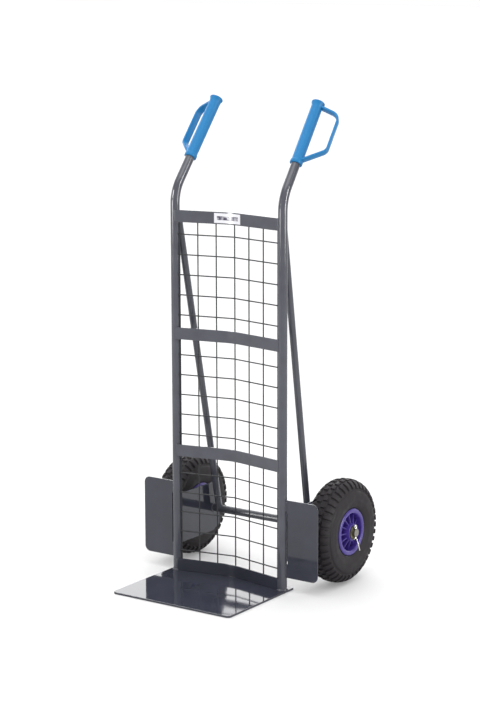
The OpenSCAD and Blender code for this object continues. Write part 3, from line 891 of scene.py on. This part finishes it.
# %% Mould a grip
GRIP_LENGTH = 175
sleeve = [
    (11.6, 0.1), (14.6, 0.1), (15.2, 0.5), (15.5, 1.4), (15.5, 8), (15.2, 9), (14.4, 10.2),
    (14.1, 12), (14.1, 158), (14.2, 162), (14.7, 166), (15.7, 169.4), (16.6, 171.2), (16.85, 172.4),
    (16.8, 173.8), (16.2, 174.7), (15.2, 174.9), (10.5, 174.9), (9.6, 174.5), (0, 174.3),
    (0, 170), (11.6, 170),
]
strap_corners = [(9, 164), (60, 153), (60, 53), (9, 12)]
STRAP_RADII = (22, 18)
STRAP_WIDTH, STRAP_THICK = 17.6 * MM, 6 * MM


def rounded_line(corners, radii, steps=7):
    """A line through flat corners, with an arc of its own radius at each inner corner."""
    line = [Vector(corners[0])]
    for k, radius in enumerate(radii, start=1):
        before, at, after = (Vector(corners[k + j]) for j in (-1, 0, 1))
        one, two = (before - at).normalized(), (after - at).normalized()
        half = one.angle(two) / 2
        hub = at + (one + two).normalized() * radius / math.sin(half)
        start = at + one * radius / math.tan(half) - hub
        stop = at + two * radius / math.tan(half) - hub
        swing = start.angle_signed(stop)
        for j in range(steps + 1):
            line.append(hub + Matrix.Rotation(-swing * j / steps, 2) @ start)
    return line + [Vector(corners[-1])]


def join(main, *others):
    """Joins the other meshes into the first one."""
    clear()
    for part in (main, *others):
        part.select_set(True)
    bpy.context.view_layer.objects.active = main
    bpy.ops.object.join()
    return main


draw([(r * MM, 0, z * MM) for r, z in sleeve], closed=True)
bpy.ops.mesh.spin(steps=48, angle=2 * math.pi, center=(0, 0, 0), axis=(0, 0, 1))
tidy_normals()
grip = bpy.context.object

strap_line = rounded_line(strap_corners, STRAP_RADII)
draw([(p.x * MM, -STRAP_WIDTH / 2, p.y * MM) for p in strap_line])
bpy.ops.mesh.extrude_region_move(TRANSFORM_OT_translate={"value": (0, STRAP_WIDTH, 0)})
strap = bpy.context.object
clear()
strap.select_set(True)
thick = strap.modifiers.new("thickness", "SOLIDIFY")
thick.thickness, thick.offset, thick.use_even_offset = STRAP_THICK, 0, True
bpy.ops.object.modifier_apply(modifier=thick.name)
round_edges(strap, 1.7 * MM, 3, 60)
pick("FACE", lambda spot: True)
bpy.ops.transform.rotate(value=-STRAP_TURN, orient_axis="Z", center_override=(0, 0, 0))
grip = join(grip, strap)
grip.matrix_world = handle
clear()
grip.select_set(True)
bpy.ops.object.transform_apply(location=True, rotation=True, scale=True)
twin = mirrored(grip)
set_in_place(grip, "moulded_grip_right", "frame", "grip_plastic", ["grip_right"], smooth=45)
set_in_place(twin, "moulded_grip_left", "frame", "grip_plastic", ["grip_left"], smooth=45)
for name, node in (("moulded_grip_right", "grip_right"), ("moulded_grip_left", "grip_left")):
    spots = [v.co for v in bpy.data.objects[name].data.vertices]
    low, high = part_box(node)
    miss = [max(v[k] for v in spots) - high[k] for k in range(3)]
    miss += [min(v[k] for v in spots) - low[k] for k in range(3)]
    print(name, "differs from its measured node by", [round(m / MM, 1) for m in miss], "mm")

# %% [markdown]
# ## Weld beads
# Every joint of the frame is welded, and under gloss paint a weld shows as a rippled bead with
# small bright spots. A displaced cylinder would give random lumps; a real bead is a row of
# puddles, so here a small ring is extruded along step by step and made wider and narrower in
# turn. Ring welds around tubes are a torus with every second ring swollen.

# %% Straight beads and ring beads
BEAD_R = 2 * MM
RIPPLE = 2.2 * MM
weld_parts = []


def bead(start, end, radius=BEAD_R):
    """A rippled straight weld between two points."""
    start, end = Vector(start), Vector(end)
    run = end - start
    rings = 2 * max(3, round(run.length / RIPPLE))
    clear()
    bpy.ops.mesh.primitive_circle_add(vertices=8, radius=radius * 0.6, fill_type="NGON",
                                      rotation=run.to_track_quat("Z", "X").to_euler())
    bpy.ops.object.transform_apply(rotation=True)
    bpy.ops.object.mode_set(mode="EDIT")
    bpy.ops.transform.translate(value=start)
    for k in range(1, rings + 1):
        bpy.ops.mesh.extrude_region_move(TRANSFORM_OT_translate={"value": run / rings})
        size = 1.55 if k == 1 else 0.6 if k == rings else (0.86 if k % 2 == 0 else 1 / 0.86)
        bpy.ops.transform.resize(value=(size,) * 3, center_override=start + run * k / rings)
    tidy_normals()
    clear()
    weld_parts.append(bpy.context.object)


def ring_bead(middle, direction, around, radius=BEAD_R, puddles=26):
    """A rippled weld round a tube: the middle, the tube's direction and its radius."""
    clear()
    turn = Vector(direction).to_track_quat("Z", "X").to_euler()
    bpy.ops.mesh.primitive_torus_add(location=middle, rotation=turn, major_radius=around,
                                     minor_radius=radius, major_segments=2 * puddles,
                                     minor_segments=8)
    ring = bpy.context.object
    bpy.ops.object.transform_apply(location=True, rotation=True)
    upright = Vector(direction).to_track_quat("Z", "X").to_matrix().inverted()

    def every_second(spot):
        flat = upright @ (spot - Vector(middle))
        return round(math.atan2(flat.y, flat.x) * puddles / math.pi) % 2 == 0

    pick("VERT", every_second)
    bpy.ops.transform.shrink_fatten(value=0.16 * radius)
    clear()
    weld_parts.append(ring)


def keep_welds(name):
    """Joins the welds made so far, adds their mirror images and names them as one piece."""
    main = join(weld_parts[0], *weld_parts[1:])
    whole = join(main, mirrored(main))
    set_in_place(whole, name, "frame", "frame_paint", smooth=50)
    weld_parts.clear()
    print(name, "has", len(whole.data.polygons), "faces")


# %% Welds of the bars, the feet and the guards
for level in ("top", "upper", "lower", "bottom"):
    low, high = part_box(f"{level}_bar")
    bead((high.x + 0.6 * MM, low.y + 1.6 * MM, low.z + 2 * MM),
         (high.x + 0.6 * MM, low.y + 1.6 * MM, high.z - 2 * MM))
    bead((high.x - 4.8 * MM, low.y + 7 * MM, low.z + 2 * MM),
         (high.x - 4.8 * MM, low.y + 7 * MM, high.z - 2 * MM))
keep_welds("bar_welds")

toe_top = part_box("toe_plate")[1].z
ring_bead((stile_x, 0, toe_top + 0.4 * MM), (0, 0, 1), stile_r + 0.6 * MM, 2.2 * MM, 20)
guard_low, guard_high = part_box("wheel_guard_right")
bracket_low, bracket_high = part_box("axle_bracket_right")
for low, high in ((guard_low.z + 4 * MM, bracket_low.z - 3 * MM),
                  (bracket_high.z + 6 * MM, guard_high.z - 4 * MM)):
    for y in (guard_low.y - 0.4 * MM, guard_high.y + 0.4 * MM):
        bead((stile_x + stile_r + 0.2 * MM, y, low), (stile_x + stile_r + 0.2 * MM, y, high))
keep_welds("guard_and_foot_welds")

# %% Welds of the brackets and the axle
for x in (bracket_low.x, bracket_high.x):
    outward = math.copysign(0.8 * MM, x - (bracket_low.x + bracket_high.x) / 2)
    for low, high in ((0.04, 0.34), (0.64, 0.96)):
        tall = bracket_high.z - bracket_low.z
        bead((x + outward, stile_r - 0.6 * MM, bracket_low.z + low * tall),
             (x + outward, stile_r - 0.6 * MM, bracket_low.z + high * tall))
    ring_bead((x + outward / 2, wheel_middle.y, wheel_middle.z), (1, 0, 0), axle_r + 0.8 * MM)
keep_welds("bracket_and_axle_welds")

# %% [markdown]
# ## Spot welds of the mesh
# Where two wires cross they are fused by a resistance weld, which squeezes out a tiny nugget.
# There are more than a hundred, so each is a coarse ball of twenty faces.

# %% A nugget at every crossing
wire_low, wire_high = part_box("mesh_uprights")
rungs_low, rungs_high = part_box("mesh_rungs")


def middles(node, axis):
    """Sorted middles, along one axis, of the separate wires in a node."""
    values = sorted({round(v.co[axis] / MM, 2) for v in frame["nodes"][node].data.vertices})
    groups = [[values[0]]]
    for value in values[1:]:
        if value - groups[-1][-1] > 5:
            groups.append([])
        groups[-1].append(value)
    return [(group[0] + group[-1]) / 2 * MM for group in groups]


columns_x = middles("mesh_uprights", 0)
rows_z = middles("mesh_rungs", 2)
print(len(columns_x), "upright wires cross", len(rows_z), "level wires")
upright_spots = [v.co for v in frame["nodes"]["mesh_uprights"].data.vertices]
clear()
nuggets = []
for x in columns_x:
    near = [spot.y for spot in upright_spots if abs(spot.x - x) < 3 * MM]
    y = min(near)
    for z in rows_z:
        bpy.ops.mesh.primitive_ico_sphere_add(subdivisions=1, radius=2 * MM, location=(x, y, z))
        nuggets.append(bpy.context.object)
spots = join(*nuggets)
set_in_place(spots, "mesh_spot_welds", "frame", "mesh_paint", smooth=80)

# %% [markdown]
# ## Last measurement
# The looks must not make the truck any larger than it was measured, so the sizes of both boxes
# are compared and their difference is printed.

# %% Compare the sizes and finish
seen_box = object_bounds()
growth = [round((seen_box[1][k] - seen_box[0][k] - cad_size[k]) / MM, 2) for k in range(3)]
print("The looks change the truck's size by", growth, "mm")
